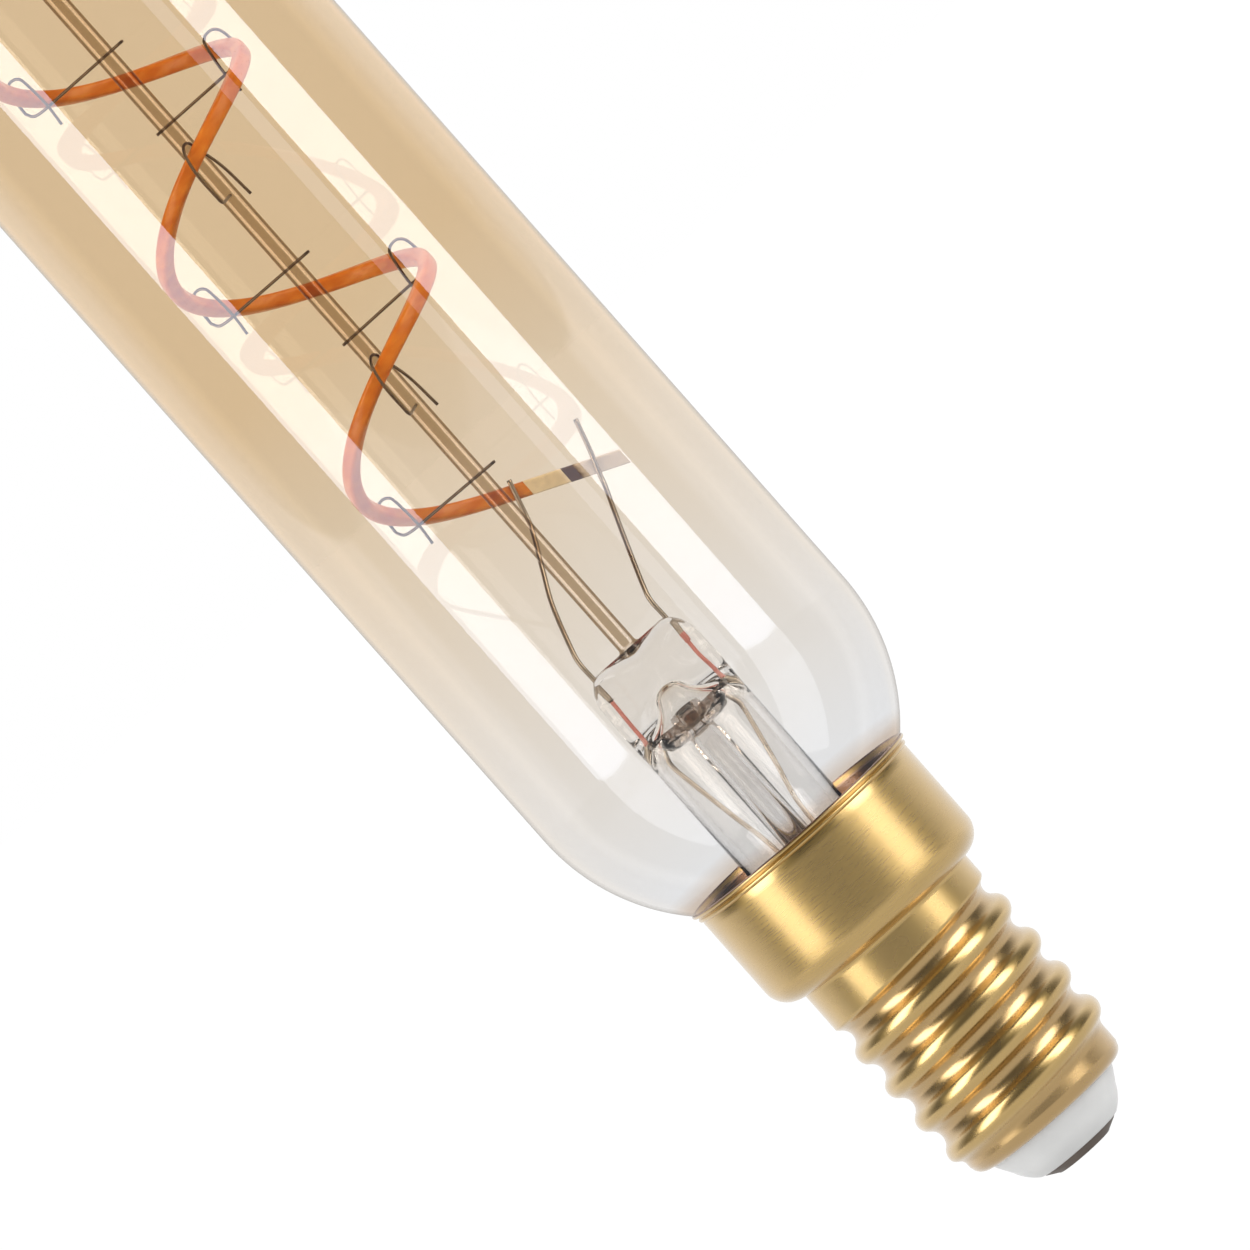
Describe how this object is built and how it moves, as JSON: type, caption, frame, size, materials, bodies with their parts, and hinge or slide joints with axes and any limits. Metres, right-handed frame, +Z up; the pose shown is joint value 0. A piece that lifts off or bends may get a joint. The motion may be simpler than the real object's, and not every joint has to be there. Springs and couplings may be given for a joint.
{
  "type": "tubular filament-style light bulb",
  "caption": "Slim tubular light bulb with a small gold screw cap, amber glass and a spiral filament-style light strip.",
  "frame": {"origin": "centre of the outer face of the centre contact, on the lamp's axis", "axes": "+Z up the lamp from the contact to the dome; +X to the right in the picture's view; +Y away from it"},
  "size_m": [0.025, 0.025, 0.185],
  "materials": {
    "amber_glass": "gloss",
    "clear_glass": "gloss",
    "cap_metal": "satin",
    "contact_metal": "satin",
    "insulator_glass": "satin",
    "cement": "matte",
    "lead_metal": "satin",
    "seal_metal": "satin",
    "support_wire": "satin",
    "strip_coat": "satin",
    "strip_plate": "satin",
    "strip_tail": "satin",
    "board": "satin",
    "chip_plastic": "matte",
    "capacitor_sleeve": "gloss",
    "resistor_body": "satin"
  },
  "bodies": {
    "root": {"glass_bulb": "amber_glass", "cap_shell": "cap_metal", "centre_contact": "contact_metal", "cap_insulator": "insulator_glass", "capping_cement": "cement", "stem": "clear_glass", "inner_lead_left": "lead_metal", "inner_lead_right": "lead_metal", "seal_wire_left": "seal_metal", "seal_wire_right": "seal_metal", "outer_lead_left": "lead_metal", "outer_lead_right": "lead_metal", "exhaust_tube": "clear_glass", "centre_rod": "clear_glass", "support_hook_01": "support_wire", "support_hook_02": "support_wire", "support_hook_03": "support_wire", "support_hook_04": "support_wire", "support_hook_05": "support_wire", "support_hook_06": "support_wire", "support_hook_07": "support_wire", "support_hook_08": "support_wire", "support_hook_09": "support_wire", "support_hook_10": "support_wire", "support_hook_11": "support_wire", "support_hook_12": "support_wire", "support_hook_13": "support_wire", "support_hook_14": "support_wire", "support_hook_15": "support_wire", "support_hook_16": "support_wire", "support_hook_17": "support_wire", "support_hook_18": "support_wire", "support_hook_19": "support_wire", "support_hook_20": "support_wire", "light_strip": "strip_coat", "strip_end_plate": "strip_plate", "strip_end_tail": "strip_tail", "driver_board": "board", "bridge_rectifier": "chip_plastic", "driver_chip": "chip_plastic", "smoothing_capacitor": "capacitor_sleeve", "fuse_resistor": "resistor_body", "live_wire": "lead_metal", "shell_wire": "lead_metal"}
  },
  "joints": []
}
